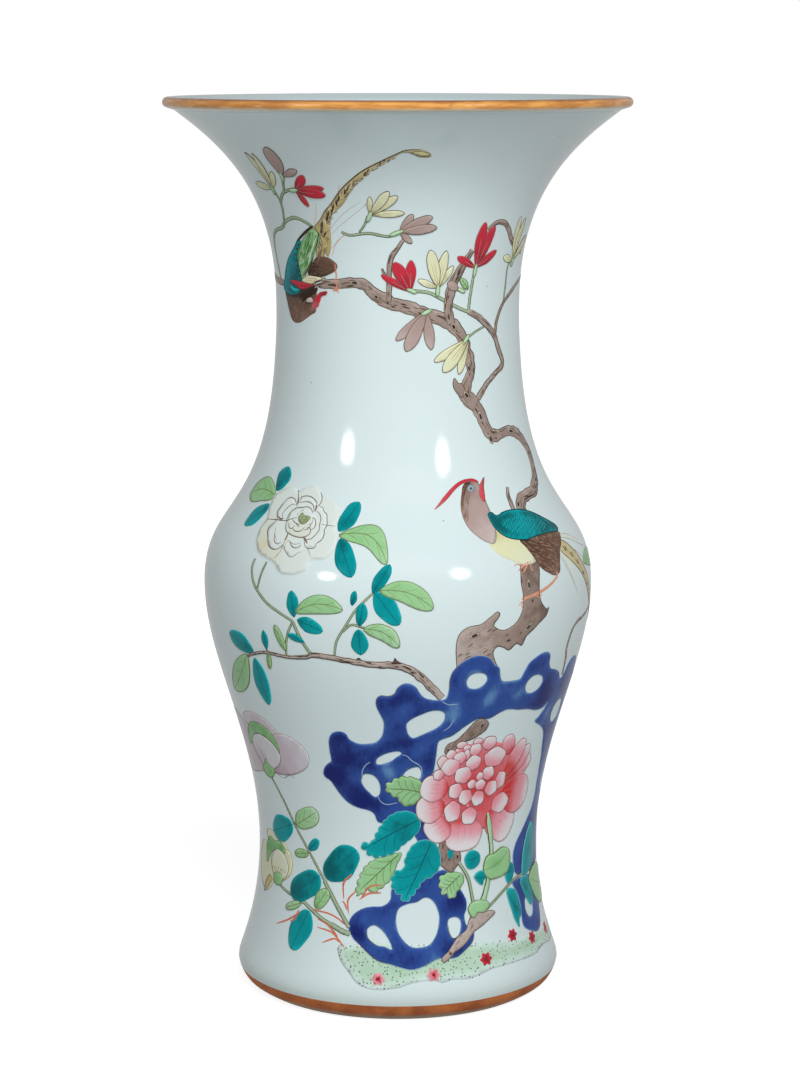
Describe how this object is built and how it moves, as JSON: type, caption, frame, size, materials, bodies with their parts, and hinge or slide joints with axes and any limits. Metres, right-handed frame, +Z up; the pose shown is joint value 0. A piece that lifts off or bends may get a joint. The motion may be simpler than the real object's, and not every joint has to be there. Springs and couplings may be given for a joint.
{
  "type": "gu vase",
  "caption": "Porcelain gu vase with a flaring trumpet mouth, rounded belly, waisted lower body and spreading foot, painted with flowers, birds and rockwork.",
  "frame": {"origin": "centre of the foot ring's resting plane", "axes": "+Z up along the vase's axis of revolution; -Y faces the main painted front"},
  "size_m": [0.227, 0.227, 0.44],
  "materials": {
    "glazed_porcelain": "glossy",
    "slip": "glossy",
    "iron_brown_dressing": "satin",
    "bare_porcelain": "matte",
    "blue_enamel": "glossy",
    "turquoise_enamel": "glossy",
    "green_enamel": "glossy",
    "rose_enamel": "glossy",
    "yellow_enamel": "glossy",
    "brown_enamel": "glossy",
    "line_enamel": "satin"
  },
  "bodies": {
    "root": {"lip_band": "iron_brown_dressing", "trumpet_neck": "glazed_porcelain", "neck_seam": "slip", "shoulder": "glazed_porcelain", "belly_seam": "slip", "lower_body": "glazed_porcelain", "floor": "glazed_porcelain", "foot_ring": "bare_porcelain"}
  },
  "joints": []
}
